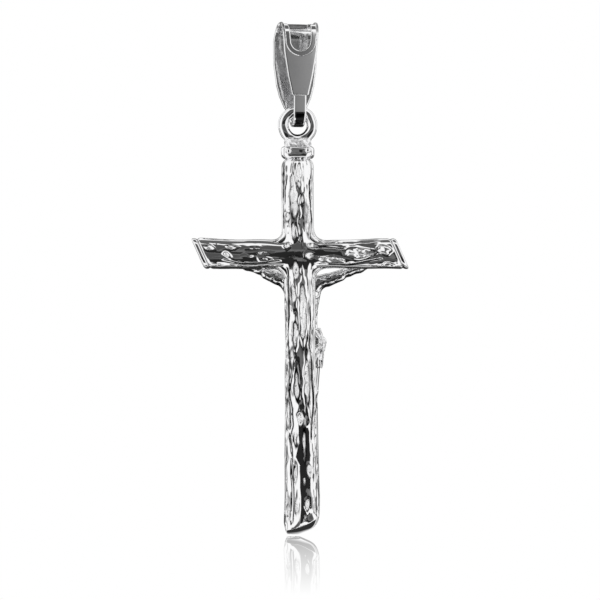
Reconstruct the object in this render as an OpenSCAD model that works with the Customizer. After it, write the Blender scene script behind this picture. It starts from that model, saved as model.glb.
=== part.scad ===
/* [Cross] */
// Length of the upright log, from the collar to its low corner
upright_length = 35.6; // [28:0.1:45]
// Width of the upright log, side to side
upright_width = 3.26; // [2.6:0.02:4]
// Depth of the upright log, front to back
upright_depth = 2.9; // [2.4:0.02:3.6]
// Length of the crossbeam log, between the middles of its slanted ends
beam_length = 19.1; // [14:0.1:24]
// Height of the crossbeam log at its ends
beam_height = 2.86; // [2.3:0.02:3.6]
// Depth of the crossbeam log, front to back
beam_depth = 2.66; // [2.2:0.02:3.2]
// Distance from the top of the upright down to the middle of the crossbeam
beam_drop = 9.1; // [7:0.1:11]
// Slant of the crossbeam's two ends
beam_slant = 24; // [0:1:30]
// Slant of the upright's foot
foot_slant = 25; // [0:1:30]
// Depth of the deepest bark pits
bark_depth = 0.26; // [0.05:0.01:0.3]

/* [Ring and collar] */
// Outer diameter of the hanging ring
ring_outer = 3.72; // [3.5:0.02:4.4]
// Thickness of the hanging ring's wire
ring_wire = 1; // [0.8:0.02:1.1]
// Sideways drift of the upright from under the ring to the crossbeam
upright_drift = 0.28; // [0:0.02:0.5]
// Width across the collar
collar_width = 3.14; // [2.8:0.02:3.4]
// Height of the collar
collar_height = 1.14; // [0.8:0.02:1.4]
// Width of the solder neck between the collar and the ring
neck_width = 2.5; // [2:0.02:2.7]
// Height of the solder neck
neck_height = 0.7; // [0.5:0.02:0.9]

/* [Bail] */
// Height from the middle of the top fold down to the ring's wire
bail_height = 6.76; // [5.8:0.02:8]
// Depth of the bail at its top fold, front to back
bail_depth = 3.4; // [3:0.02:3.8]
// Thickness of the bail's strip
bail_strip = 0.46; // [0.36:0.01:0.5]
// Width of the front leaf
front_leaf_width = 4.2; // [3.8:0.02:4.6]
// Width of the back leaf at the top fold
back_leaf_width = 3.6; // [3.2:0.02:4]
// Width of the eye strap that passes through the ring
strap_width = 1.2; // [1:0.02:1.24]
// Room between the ring's wire and the sides of the eye
eye_room = 0.46; // [0.42:0.01:0.52]
// Further room under the wire, before it touches the bottom of the eye
eye_drop = 0.1; // [0.06:0.01:0.14]
// Turn of the bail about the vertical
bail_turn = 11; // [0:1:16]
// Width of the round-ended window in the back leaf
window_width = 2.2; // [1.6:0.02:2.4]
// Depth of the window below the middle of the top fold
window_drop = 1.16; // [0.8:0.02:1.6]

/* [Figure] */
// Height of the figure, crown to toes
figure_height = 20.4; // [17:0.1:23]
// Reach between the middles of the two hands
hand_span = 16.4; // [13:0.1:17]
// Distance from the middle of the crossbeam up to the crown of the head
crown_rise = 0.9; // [0:0.1:1.6]
// Radius of the posts behind the hands and feet
post_radius = 0.28; // [0.2:0.01:0.32]
// Length of those posts inside the logs
post_length = 0.7; // [0.4:0.05:1]
// Clearance round the posts and behind the figure
fit_gap = 0.06; // [0.04:0.01:0.1]

/* [Hidden] */
$fn = 48;

// Heights of the chain of parts, from the middle of the bail's fold at zero
pivot_z = -bail_height;
ring_radius = (ring_outer - ring_wire) / 2;
ring_z = pivot_z - ring_radius;
// How far the ring sinks into its solder neck
ring_bury = 0.55 * ring_wire;
neck_top = ring_z - ring_radius - ring_wire / 2 + ring_bury;
collar_top = neck_top - neck_height;
// How far the upright reaches up into the collar
log_bury = 0.1 * collar_height;
upright_top = collar_top - collar_height;
beam_z = upright_top - beam_drop;

// Faces of the logs and the bark rows on them
upright_sides = 34;
upright_rows = 68;
beam_sides = 26;
beam_rows = 40;
// Length of the worked zone at a log's end, and how square a log's section is
end_zone = 0.23 * upright_width;
squareness = 2.3;
// How far the bark's highest ridges stand above the log's plain section
bark_rise = 0.2 * bark_depth;

// Pits in the back of the upright's bark.
// Columns: middle down the log as a share, angle round it, length as a share,
// width as an angle, depth as a share
UPRIGHT_PITS = [
    [0.060, 38, 0.110, 18, 0.8],
    [0.050, 93, 0.085, 24, 1.0],
    [0.110, 106, 0.035, 20, 0.8],
    [0.110, 73, 0.120, 24, 0.9],
    [0.165, 54, 0.035, 24, 0.8],
    [0.195, 80, 0.055, 26, 0.9],
    [0.155, 122, 0.060, 20, 0.8],
    [0.090, 142, 0.130, 18, 0.7],
    [0.265, 120, 0.022, 30, 0.7],
    [0.302, 80, 0.046, 26, 0.8],
    [0.400, 33, 0.095, 22, 0.9],
    [0.368, 66, 0.056, 24, 0.8],
    [0.412, 104, 0.155, 26, 1.0],
    [0.400, 140, 0.110, 18, 0.7],
    [0.468, 77, 0.062, 24, 0.9],
    [0.520, 54, 0.048, 24, 0.8],
    [0.535, 128, 0.080, 20, 0.8],
    [0.580, 41, 0.070, 22, 0.9],
    [0.614, 77, 0.080, 26, 1.0],
    [0.605, 114, 0.142, 26, 1.0],
    [0.680, 50, 0.088, 24, 0.9],
    [0.697, 88, 0.040, 30, 0.9],
    [0.702, 151, 0.055, 24, 0.8],
    [0.748, 73, 0.044, 24, 0.9],
    [0.757, 104, 0.088, 26, 1.0],
    [0.751, 145, 0.028, 22, 0.7],
    [0.795, 145, 0.026, 24, 0.7],
    [0.796, 38, 0.055, 22, 0.8],
    [0.843, 73, 0.056, 24, 0.9],
    [0.850, 114, 0.040, 24, 0.9],
    [0.885, 139, 0.024, 24, 0.7],
    [0.903, 36, 0.043, 22, 0.8],
    [0.920, 118, 0.044, 26, 0.9],
    [0.932, 77, 0.066, 26, 1.0],
    [0.938, 165, 0.038, 22, 0.7],
    [0.944, 50, 0.058, 24, 0.8]];

// Pits in the back of the crossbeam's bark, counted from its plus X end.
// Columns: as for the upright, with the angle counted from the top
BEAM_PITS = [
    [0.065, 52, 0.036, 34, 0.8],
    [0.115, 47, 0.036, 26, 0.7],
    [0.130, 96, 0.045, 44, 0.9],
    [0.180, 55, 0.066, 28, 0.8],
    [0.255, 118, 0.110, 28, 0.8],
    [0.300, 71, 0.080, 30, 0.9],
    [0.315, 106, 0.045, 30, 0.9],
    [0.570, 54, 0.070, 30, 0.7],
    [0.650, 118, 0.165, 32, 0.9],
    [0.667, 48, 0.090, 28, 0.8],
    [0.785, 92, 0.170, 48, 1.0],
    [0.868, 38, 0.075, 28, 0.7],
    [0.872, 112, 0.032, 28, 0.7],
    [0.908, 136, 0.100, 26, 0.8],
    [0.918, 80, 0.060, 42, 0.9]];

// The far side of a log carries the same pits, turned half round and moved on
function far_side(pits, move) =
    [for (p = pits) [(p[0] + move) % 1, p[1] + 180, p[2], p[3], p[4]]];
ALL_UPRIGHT_PITS = concat(UPRIGHT_PITS, far_side(UPRIGHT_PITS, 0.37));
ALL_BEAM_PITS = concat(BEAM_PITS, far_side(BEAM_PITS, 0.41));

// Smallest signed turn from angle b to angle a
function turn_between(a, b) = (a - b + 900) % 360 - 180;

// A lens-shaped hollow: one at its middle, zero past its edge
function lens(u, v) =
    abs(u) >= 1 ? 0 : let (w = v / (1 - 0.7 * u * u)) abs(w) >= 1 ? 0 : (1 - u * u) * (1 - w * w);

// Depth of the bark at a place on a log
function pit_depth(pits, share, angle) =
    max([for (p = pits)
        p[4] * lens((share - p[0]) / (p[2] * 0.5 + 0.008), turn_between(angle, p[1]) / (p[3] * 0.62))]);
function grain(share, angle, waves) =
    0.5 + 0.5 * sin(angle * 9 + 60 * sin(share * waves * 360) + 25 * sin(share * waves * 130));
function bark(pits, share, angle, waves) =
    bark_depth * (pit_depth(pits, share, angle) + 0.28 * grain(share, angle, waves)) - bark_rise;

// Radius of a rounded section with two half widths
function section_radius(angle, a, b) =
    1 / pow(pow(abs(cos(angle)) / a, squareness) + pow(abs(sin(angle)) / b, squareness), 1 / squareness);
function smooth(x) = x <= 0 ? 0 : x >= 1 ? 1 : x * x * (3 - 2 * x);

// A worked end, from the bark outward: groove, raised lip and domed face.
// Columns: distance from the end as a share of the end zone, size as a share
LOG_END = [[0.86, 0.97], [0.66, 0.94], [0.5, 1.02], [0.3, 1.01], [0.12, 0.93], [0.02, 0.78], [-0.03, 0.45]];

// Stations down a log: share of the length, size, and how strongly the bark shows
function plain_stations(rows, first, last) =
    [for (i = [0:rows]) let (s = first + (last - first) * i / rows) [s, 1, 1]];
function end_stations(length) =
    [for (e = LOG_END) [1 - e[0] * end_zone / length, e[1], 0]];
function start_stations(length) =
    [for (i = [len(LOG_END) - 1:-1:0]) [LOG_END[i][0] * end_zone / length, LOG_END[i][1], 0]];

// Side triangles and two end faces of a tube of rings
module skin(rings) {
    n = len(rings[0]);
    m = len(rings);
    points = [for (r = rings) each r];
    sides = [for (i = [0:m - 2]) for (j = [0:n - 1]) let (k = (j + 1) % n)
        each [[i * n + j, i * n + k, (i + 1) * n + k], [i * n + j, (i + 1) * n + k, (i + 1) * n + j]]];
    ends = [[for (j = [n - 1:-1:0]) j], [for (j = [0:n - 1]) (m - 1) * n + j]];
    polyhedron(points, concat(sides, ends), convexity = 8);
}

// The upright drifts sideways on its way down, and is slimmer above than at its foot.
// Columns: share of the way down, drift as a share of upright_drift, width as a share
UPRIGHT_LINE = [
    [0.00, 0.00, 0.93],
    [0.18, 0.00, 0.95],
    [0.30, 0.70, 0.95],
    [0.50, 1.00, 0.95],
    [0.65, 1.10, 0.99],
    [0.78, 1.45, 1.05],
    [0.90, 1.45, 1.08],
    [1.00, 1.15, 1.04]];
UPRIGHT_DRIFTS = [for (row = UPRIGHT_LINE) [row[0], row[1]]];
UPRIGHT_WIDTHS = [for (row = UPRIGHT_LINE) [row[0], row[2]]];
function upright_slim(share) = lookup(share, UPRIGHT_WIDTHS);
function upright_wave(share) =
    upright_width * (0.015 * sin(share * 700) + 0.009 * sin(share * 1500))
    - upright_drift * lookup(share, UPRIGHT_DRIFTS);

// It spreads where the crossbeam passes through it
function upright_flare(z) =
    let (reach = z > beam_z ? 0.7 : 0.45)
    0.34 * beam_height * exp(-pow((z - beam_z) / (beam_height * reach), 4));
function upright_ring(station) =
    let (share = station[0])
    let (z = upright_top + log_bury - share * (upright_length + log_bury))
    let (fade = smooth((share - 0.45) / 0.55) * tan(foot_slant))
    let (half_foot = fade * upright_width / 2)
    [for (j = [0:upright_sides - 1])
        let (angle = j * 360 / upright_sides)
        let (depth = station[2] * bark(ALL_UPRIGHT_PITS, share, angle, 5))
        let (wide = upright_width / 2 * upright_slim(share) + upright_flare(z))
        let (r = station[1] * section_radius(angle, wide, upright_depth / 2) - depth)
        let (x = r * cos(angle) + upright_wave(share))
        [x, r * sin(angle), z + half_foot - fade * x]];

module upright() {
    zone = end_zone / upright_length;
    skin([for (s = concat(plain_stations(upright_rows, 0, 1 - zone), end_stations(upright_length)))
        upright_ring(s)]);
}

// The crossbeam is thinner at its middle, and all of it is sheared by the slant of its ends
function beam_thin(share) = 1 - 0.09 * (1 - pow(2 * share - 1, 2));
function beam_sag(share) =
    beam_height * (0.01 * sin(share * 1300) - 0.035 * (1 - pow(2 * share - 1, 2)));
function beam_ring(station) =
    let (share = station[0])
    let (x = beam_length * (0.5 - share))
    [for (j = [0:beam_sides - 1])
        let (angle = j * 360 / beam_sides)
        let (depth = station[2] * bark(ALL_BEAM_PITS, share, (450 - angle) % 360, 3))
        let (tall = beam_height / 2 * beam_thin(share))
        let (r = station[1] * section_radius(angle, beam_depth / 2, tall) - depth)
        let (dz = r * sin(angle))
        [x + dz * tan(beam_slant), r * cos(angle), beam_z + dz + beam_sag(share)]];

module crossbeam() {
    zone = end_zone / beam_length;
    skin([for (s = concat(start_stations(beam_length), plain_stations(beam_rows, zone, 1 - zone),
        end_stations(beam_length))) beam_ring(s)]);
}

// Band with rounded edges, a little flat at its back and front.
// Columns: share of the way down the band, size as a share
COLLAR_BAND = [
    [0.00, 0.80], [0.05, 0.90], [0.15, 0.97], [0.30, 1.00],
    [0.70, 1.00], [0.85, 0.97], [0.95, 0.90], [1.00, 0.80]];
collar_flat = 0.9;
function collar_ring(row) =
    [for (j = [0:upright_sides - 1])
        let (angle = j * 360 / upright_sides)
        let (r = row[1] * section_radius(angle, collar_width / 2, collar_flat * collar_width / 2))
        [r * cos(angle), r * sin(angle), collar_top - row[0] * collar_height]];

// Collar, solder neck and hanging ring
module collar() {
    skin([for (row = COLLAR_BAND) collar_ring(row)]);
    translate([0, 0, collar_top - collar_height / 2])
        cylinder(h = neck_height + collar_height / 2, d = neck_width);
}

module hanging_ring() {
    translate([0, 0, ring_z]) rotate([90, 0, 0])
        rotate_extrude() translate([ring_radius, 0]) circle(d = ring_wire);
}

// The crossbeam and the figure stand where the upright has drifted to
module aside() {
    translate([-upright_drift, 0, 0]) children();
}

module cross() {
    color("silver") difference() {
        union() {
            upright();
            aside() crossbeam();
            collar();
            hanging_ring();
        }
        aside() posts(fit_gap);
    }
}

// Front faces that the figure lies against
upright_front = -upright_depth / 2 - bark_rise - fit_gap;
beam_front = -beam_depth / 2 - bark_rise - fit_gap;
crown_z = beam_z + crown_rise;

// Place on the figure from shares of its height: across, down from the crown,
// and forward of the upright's face
function place(p) = [p[0] * figure_height, upright_front - p[2] * figure_height, crown_z - p[1] * figure_height];
function hand_place(side) =
    [side * hand_span / 2, beam_front - 0.014 * figure_height, beam_z - 0.035 * beam_height];

// The figure's joints, as shares of its height, with his right side at minus X.
// Columns: across, down, forward, radius
NECK = [-0.005, 0.140, 0.062, 0.026];
SHOULDERS = [[-0.062, 0.184, 0.040, 0.034], [0.052, 0.178, 0.040, 0.033]];
CHEST = [[-0.044, 0.214, 0.050, 0.043], [0.028, 0.210, 0.050, 0.043]];
RIBS = [[-0.036, 0.290, 0.048, 0.038], [0.014, 0.290, 0.048, 0.038]];
WAIST = [[-0.044, 0.355, 0.036, 0.032], [0.006, 0.355, 0.036, 0.030]];
HIPS = [[-0.062, 0.440, 0.038, 0.036], [0.002, 0.440, 0.038, 0.036]];
KNEES = [[-0.047, 0.690, 0.078, 0.029], [0.004, 0.700, 0.066, 0.029]];
CALVES = [[-0.050, 0.765, 0.052, 0.026], [-0.004, 0.775, 0.040, 0.026]];
ANKLES = [[-0.026, 0.905, 0.040, 0.017], [-0.020, 0.900, 0.018, 0.017]];
TOES = [[-0.030, 0.985, 0.058, 0.011], [-0.004, 0.985, 0.040, 0.011]];
ELBOWS = [[-0.233, 0.122, 0.022, 0.025], [0.200, 0.112, 0.022, 0.025]];
WRISTS = [[-0.352, 0.074, 0.010, 0.016], [0.346, 0.062, 0.010, 0.016]];
FEET_POST = [-0.018, 0.930, 0.020];

module ball(p) {
    translate(place(p)) sphere(p[3] * figure_height, $fn = 16);
}

module limb(a, b) {
    hull() {
        ball(a);
        ball(b);
    }
}

module block(upper, lower) {
    hull() {
        for (p = upper) ball(p);
        for (p = lower) ball(p);
    }
}

module head() {
    translate(place([-0.022, 0.064, 0.088])) rotate([15, -10, 0]) {
        // Skull, with the hair over its back and down to the shoulders
        scale([0.042, 0.050, 0.060] * figure_height) sphere(1, $fn = 24);
        hull() {
            translate([0, 0.018, 0.014] * figure_height)
                scale([0.049, 0.044, 0.050] * figure_height) sphere(1, $fn = 20);
            translate([0, 0.030, -0.060] * figure_height)
                scale([0.050, 0.026, 0.024] * figure_height) sphere(1, $fn = 16);
        }
        // Nose, brow and beard
        hull() {
            translate([0, -0.047, 0.008] * figure_height) sphere(0.006 * figure_height, $fn = 10);
            translate([0, -0.055, -0.012] * figure_height) sphere(0.007 * figure_height, $fn = 10);
        }
        hull() {
            translate([0, -0.022, -0.042] * figure_height)
                scale([0.032, 0.030, 0.022] * figure_height) sphere(1, $fn = 16);
            translate([0, -0.034, -0.066] * figure_height) sphere(0.012 * figure_height, $fn = 12);
        }
    }
}

module arm(i) {
    side = i == 0 ? -1 : 1;
    limb(SHOULDERS[i], ELBOWS[i]);
    limb(ELBOWS[i], WRISTS[i]);
    // Palm and slightly curled fingers
    hull() {
        ball(WRISTS[i]);
        translate(hand_place(side)) scale([0.026, 0.011, 0.021] * figure_height) sphere(1, $fn = 16);
    }
    hull() {
        translate(hand_place(side)) scale([0.020, 0.010, 0.020] * figure_height) sphere(1, $fn = 14);
        translate(hand_place(side) + [side * 0.034, -0.010, 0.012] * figure_height)
            scale([0.012, 0.008, 0.015] * figure_height) sphere(1, $fn = 12);
    }
}

module leg(i) {
    block([HIPS[i]], [KNEES[i]]);
    limb(KNEES[i], CALVES[i]);
    limb(CALVES[i], ANKLES[i]);
    limb(ANKLES[i], TOES[i]);
}

module loincloth() {
    hull() {
        for (p = HIPS) {
            ball([p[0], p[1] - 0.018, p[2] + 0.002, p[3] + 0.006]);
            ball([p[0] * 0.9, p[1] + 0.105, p[2] + 0.020, p[3] + 0.004]);
        }
    }
    // Knot at his right hip, with its hanging end
    ball([-0.092, 0.462, 0.040, 0.027]);
    limb([-0.088, 0.470, 0.040, 0.021], [-0.080, 0.535, 0.044, 0.013]);
}

module posts(extra) {
    for (side = [-1, 1]) {
        hand = hand_place(side);
        translate([hand[0], hand[1], hand[2]]) rotate([-90, 0, 0])
            cylinder(h = post_length + extra - hand[1] - beam_depth / 2, r = post_radius + extra, $fn = 24);
    }
    foot = place(FEET_POST);
    translate(foot) rotate([-90, 0, 0])
        cylinder(h = post_length + extra - foot[1] - upright_depth / 2, r = post_radius + extra, $fn = 24);
}

module corpus() {
    color("gainsboro") aside() {
        block(SHOULDERS, CHEST);
        block(CHEST, RIBS);
        block(RIBS, WAIST);
        block(WAIST, HIPS);
        limb(NECK, [-0.008, 0.175, 0.046, 0.030]);
        head();
        for (i = [0, 1]) {
            arm(i);
            leg(i);
        }
        loincloth();
        posts(0);
    }
}

// The bail from the side: a large round at the fold and a small one at the eye, joined by tangents
fold_radius = bail_depth / 2;
eye_radius = ring_wire / 2 + eye_room + bail_strip;
eye_z = pivot_z - eye_drop;
module drop(inset, width) {
    top = fold_radius - inset;
    low = eye_radius - inset;
    lean = asin((top - low) / -eye_z);
    rotate([90, 0, 90]) {
        cylinder(h = width, r = top, center = true);
        translate([0, eye_z, 0]) cylinder(h = width, r = low, center = true);
        linear_extrude(height = width, center = true)
            polygon([[top * cos(lean), -top * sin(lean)], [low * cos(lean), eye_z - low * sin(lean)],
                [-low * cos(lean), eye_z - low * sin(lean)], [-top * cos(lean), -top * sin(lean)]]);
    }
}

// Front view of the bail's two halves.
// Columns: height as a share of the way from the fold down to the ring's wire, half width
// Top of both outlines, just above the fold, and how far the front half laps over the middle
leaf_top = -1.02 * fold_radius / bail_height;
leaf_lap = 0.2 * bail_strip;
FRONT_LEAF = [
    [leaf_top, back_leaf_width / 2],
    [0, front_leaf_width / 2],
    [0.33, front_leaf_width / 2],
    [0.62, 0.88 * front_leaf_width / 2],
    [0.79, 0.74 * front_leaf_width / 2],
    [0.94, 0.53 * front_leaf_width / 2],
    [1.03, strap_width / 2],
    [1.5, strap_width / 2]];
BACK_LEAF = [
    [leaf_top, back_leaf_width / 2],
    [0.18, 0.88 * back_leaf_width / 2],
    [0.52, 0.67 * back_leaf_width / 2],
    [0.785, 0.45 * back_leaf_width / 2],
    [0.795, strap_width / 2],
    [1.5, strap_width / 2]];
module leaf(rows) {
    polygon(concat([for (r = rows) [r[1], -r[0] * bail_height]],
        [for (i = [len(rows) - 1:-1:0]) [-rows[i][1], -rows[i][0] * bail_height]]));
}

module bail_window() {
    r = 0.86 * window_width / 2;
    translate([0, r - window_drop]) circle(r);
    polygon([[-window_width / 2, bail_depth], [window_width / 2, bail_depth],
        [r, r - window_drop], [-r, r - window_drop]]);
}

module bail() {
    color("lightgray") rotate([0, 0, bail_turn]) difference() {
        intersection() {
            difference() {
                drop(0, front_leaf_width + 1);
                drop(bail_strip, front_leaf_width + 2);
            }
            union() {
                translate([0, leaf_lap, 0]) rotate([90, 0, 0])
                    linear_extrude(height = bail_depth) leaf(FRONT_LEAF);
                translate([0, bail_depth, 0]) rotate([90, 0, 0])
                    linear_extrude(height = bail_depth) leaf(BACK_LEAF);
            }
        }
        translate([0, bail_depth, 0]) rotate([90, 0, 0])
            linear_extrude(height = bail_depth + 0.36 * fold_radius) bail_window();
    }
}

cross();
corpus();
bail();
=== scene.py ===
from math import cos, pi, radians, sin, sqrt, tan

import bpy
import numpy as np
from numpy.linalg import norm
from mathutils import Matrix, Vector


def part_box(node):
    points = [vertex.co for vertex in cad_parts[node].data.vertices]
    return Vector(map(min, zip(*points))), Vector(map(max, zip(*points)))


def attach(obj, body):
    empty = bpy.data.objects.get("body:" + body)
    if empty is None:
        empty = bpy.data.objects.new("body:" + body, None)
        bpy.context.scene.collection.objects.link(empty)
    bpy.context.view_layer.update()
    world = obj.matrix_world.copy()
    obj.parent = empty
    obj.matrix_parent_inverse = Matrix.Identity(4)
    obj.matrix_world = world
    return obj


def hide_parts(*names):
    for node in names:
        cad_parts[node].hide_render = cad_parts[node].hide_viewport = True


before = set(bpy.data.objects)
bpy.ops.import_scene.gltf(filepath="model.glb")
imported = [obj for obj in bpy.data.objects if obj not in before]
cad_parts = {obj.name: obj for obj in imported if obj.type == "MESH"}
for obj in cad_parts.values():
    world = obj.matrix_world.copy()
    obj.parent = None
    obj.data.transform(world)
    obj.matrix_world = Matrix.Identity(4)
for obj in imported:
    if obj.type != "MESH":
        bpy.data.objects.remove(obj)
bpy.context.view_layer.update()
scene = bpy.context.scene

# Lengths below are millimetres in the frame's own axes; meshes are written in metres
MM = 0.001


def box_mm(node):
    low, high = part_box(node)
    return np.array(low) / MM, np.array(high) / MM


CROSS_LOW, CROSS_HIGH = box_mm("cross")

# The ring, from the top of the cross's box down
RING_WIRE = 1
RING_OUTER = 3.72
RING_RADIUS = (RING_OUTER - RING_WIRE) / 2
RING_Z = CROSS_HIGH[2] - RING_WIRE / 2 - RING_RADIUS
NECK_TOP = RING_Z - RING_RADIUS + 0.05
NECK_HEIGHT = 0.7
NECK_WIDTH = 2.5
COLLAR_HEIGHT = 1.14
COLLAR_WIDTH = 3.14
COLLAR_TOP = NECK_TOP - NECK_HEIGHT

# The logs
UPRIGHT_TOP = COLLAR_TOP - COLLAR_HEIGHT
UPRIGHT_LENGTH = 35.6
UPRIGHT_WIDTH = 3.26
UPRIGHT_DEPTH = 2.9
UPRIGHT_DRIFT = 0.28
FOOT_SLANT = radians(23.5)
FOOT_DROP = 0.65
BEAM_LENGTH = 19.1
BEAM_HEIGHT = 2.86
BEAM_DEPTH = 2.66
BEAM_SLANT = radians(24)
BEAM_Z = UPRIGHT_TOP - 9.1

# How square rounded sections are: 2 is an ellipse, and more is nearer a rectangle
UPRIGHT_SQUARENESS = 2.5
FOOT_SQUARENESS = 5
BEAM_SQUARENESS = 3.3
COLLAR_SQUARENESS = 3.4
RING_SQUARENESS = 2.3
FOLD_SQUARENESS = 2.6
HOLLOW_SQUARENESS = 1.8

# Hollows in the back of the upright's bark, charted from the picture.
# Columns: middle down the log in thousandths, angle round it in degrees with 90 at the back,
# length in thousandths of the log, width in millimetres, depth as a share, height of its bank as
# a share, and where there is one, how much wider its lower end is
UPRIGHT_PITS = [
    (60, 36, 118, 0.44, 0.8, 1, -0.4), (90, 74, 150, 0.78, 0.8, 0.8, 0.8), (52, 97, 84, 0.56, 1, 0.8),
    (111, 108, 28, 0.5, 0.8, 0.5), (66, 143, 130, 0.2, 0.7, 1), (155, 52, 28, 0.58, 0.8, 0.8, 0.3),
    (194, 72, 54, 0.46, 0.8, 0.8, 0.2), (146, 119, 58, 0.34, 0.7, 0.8), (160, 133, 100, 0.2, 0.6, 0.6),
    (165, 23, 100, 0.22, 0.6, 0.6), (212, 101, 26, 0.28, 0.6, 0.4), (300, 76, 48, 0.62, 0.9, 0.1),
    (345, 45, 150, 0.18, 0.6, 0.6), (399, 32, 80, 0.36, 0.8, 0.8), (363, 65, 66, 0.5, 0.9, 1),
    (465, 73, 72, 0.48, 0.9, 1), (410, 101, 158, 0.74, 0.9, 0.8, -0.2), (460, 125, 170, 0.16, 0.5, 0.6),
    (350, 142, 110, 0.3, 0.7, 0.8), (508, 42, 30, 0.34, 0.8, 0.8), (527, 61, 54, 0.4, 0.8, 0.6, -0.3),
    (552, 37, 24, 0.36, 0.8, 0.8), (590, 39, 64, 0.44, 0.8, 0.8), (607, 75, 88, 0.56, 1, 0.6, 0.2),
    (597, 113, 156, 0.54, 0.9, 0.9), (590, 143, 68, 0.36, 0.7, 0.8), (680, 41, 82, 0.42, 0.8, 0.9),
    (693, 87, 38, 0.76, 1, 0.1, -0.6), (703, 144, 56, 0.4, 0.8, 0.2), (744, 68, 44, 0.42, 1, 0.2, 0.4),
    (752, 101, 88, 0.42, 0.9, 0), (748, 143, 40, 0.26, 0.7, 0.2), (790, 142, 28, 0.32, 0.7, 0.2),
    (790, 34, 62, 0.34, 0.8, 0.5), (838, 66, 60, 0.46, 0.9, 0.2, -0.2), (836, 117, 34, 0.52, 0.9, 0.2),
    (857, 99, 22, 0.32, 0.8, 0.1), (833, 157, 24, 0.4, 0.7, 0.2), (876, 140, 20, 0.28, 0.6, 0.2),
    (898, 32, 48, 0.34, 0.8, 0.5), (918, 109, 40, 0.46, 0.9, 0.2, -0.5), (910, 127, 38, 0.26, 0.7, 0.3),
    (934, 70, 70, 0.36, 1, 0.2), (955, 102, 24, 0.34, 0.8, 0.1), (934, 155, 40, 0.3, 0.7, 0.2),
    (948, 43, 62, 0.34, 0.8, 0.5),
]

# Hollows in the back of the crossbeam's bark, from its plus X end.
# Columns: as for the upright, with the angle counted from the top
BEAM_PITS = [
    (64, 66, 50, 0.56, 0.8, 0.5), (111, 52, 26, 0.26, 0.6, 0.3), (100, 135, 72, 0.2, 0.6, 0.4),
    (70, 14, 60, 0.26, 0.6, 0.4), (138, 92, 28, 0.4, 0.9, 0.9, 0.4), (176, 62, 60, 0.34, 0.8, 0.5, -0.4),
    (160, 12, 80, 0.24, 0.6, 0.4), (250, 94, 34, 0.24, 0.6, 0.3), (305, 66, 74, 0.26, 0.8, 0.3),
    (305, 83, 64, 0.26, 0.8, 0.4), (318, 106, 44, 0.34, 0.8, 0.9, -0.3), (240, 126, 130, 0.24, 0.6, 0.6),
    (640, 112, 156, 0.56, 0.9, 0.8), (664, 46, 92, 0.3, 0.7, 0.6), (790, 84, 168, 1.02, 1, 0.7, -0.3),
    (918, 79, 64, 0.86, 0.9, 0.7), (860, 43, 76, 0.38, 0.6, 0.5), (873, 107, 24, 0.26, 0.7, 0.4),
    (905, 131, 104, 0.46, 0.8, 0.6, 0.2), (750, 16, 120, 0.22, 0.5, 0.5),
]

# Hollows where the logs cross.
# Columns: across and up from the middle of the crossing, half length, half width, slope in degrees,
# height of the bank as a share
CROSSING_PITS = [
    (1.3, 0.8, 0.3, 0.24, 0, 0.9), (-1.22, 0.74, 0.7, 0.3, 12, 0.5),
    (-0.86, -0.14, 0.46, 0.32, 0, 0.4), (0.62, -0.2, 0.5, 0.08, 0, 0),
]

# Hollows: slope and most depth of their sides, the banks that stand up round them, and the lines of
# painted shade round their edges
SIDE_SLOPE = 0.5
MOST_DEPTH = 0.16
BANK_HEIGHT = 0.085
BANK_WIDTH = 0.18
EDGE_WOBBLE = 0.08
# Width of the dark line painted round each hollow's edge as shade
PAINTED_SHADE_WIDTH = 0.07
GROOVE_DEPTH = 0.11
GROOVE_WIDTH = 0.08
BARK_CELL = 0.04
BARK_COLUMNS = 256

# Long grooves between the ridges of the upright's bark.
# Columns: down the log in thousandths, angle round it
UPRIGHT_GROOVES = [
    [(276, 45), (420, 48), (470, 42), (520, 50), (580, 58), (620, 47), (660, 52), (710, 57),
     (740, 48), (790, 55), (840, 51), (880, 57), (920, 58), (980, 57)],
    [(0, 139), (15, 148), (40, 146), (70, 135), (110, 139), (170, 142), (220, 150)],
    [(380, 126), (441, 130), (497, 123), (519, 130), (538, 134), (636, 134), (658, 136),
     (698, 128), (735, 127), (760, 128)],
    [(660, 152), (724, 156), (770, 160), (823, 166), (908, 166), (960, 164)],
    [(20, 18), (100, 24), (165, 22), (220, 20)],
    [(350, 20), (450, 17), (600, 22), (750, 18), (950, 20)],
    [(10, 30), (60, 34), (120, 31), (200, 33)],
    [(20, 157), (90, 160), (220, 156)],
    [(300, 152), (420, 156), (550, 150), (630, 154)],
]

# Long grooves in the crossbeam's bark.
# Columns: along the log in thousandths from its plus X end, angle from the top
BEAM_GROOVES = [
    [(50, 20), (120, 24), (200, 20), (300, 22)],
    [(100, 112), (200, 124), (300, 120), (400, 114)],
    [(600, 128), (700, 134), (800, 120), (900, 112)],
    [(550, 62), (660, 60), (740, 66)],
]

# The flat strip down the lower half of the upright's back, between two shoulders.
# Columns: down the log in thousandths, angle of the plus X side's shoulder, angle of the other one
UPRIGHT_FLAT = np.array([
    (640, 91, 95), (662, 82, 109), (679, 73, 115), (709, 80, 119), (754, 83, 119),
    (774, 77, 121), (793, 71, 124), (818, 86, 125), (857, 85, 121), (875, 84, 119),
    (898, 87, 121), (931, 88, 125), (980, 86, 125)]) / (1000, 1, 1)

# The upright's place and width.
# Columns: down the log as a share, how far it has drifted sideways, width as a share
UPRIGHT_SHAPE = np.array([
    (0, 0, 0.9), (0.18, 0, 0.92), (0.3, 0.7, 0.89), (0.5, 0.8, 0.87), (0.65, 1.1, 0.93),
    (0.78, 1.35, 0.97), (0.9, 1.45, 1), (1, 1.25, 1.01)])


def ease(low, high, x):
    t = np.clip((x - low) / (high - low), 0, 1)
    return t * t * (3 - 2 * t)


def join(a, b, k):
    """The smaller of two distances, which joins two forms, rounded over a width k."""
    h = np.maximum(k - np.abs(a - b), 0) / k
    return np.minimum(a, b) - h * h * k / 4


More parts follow.
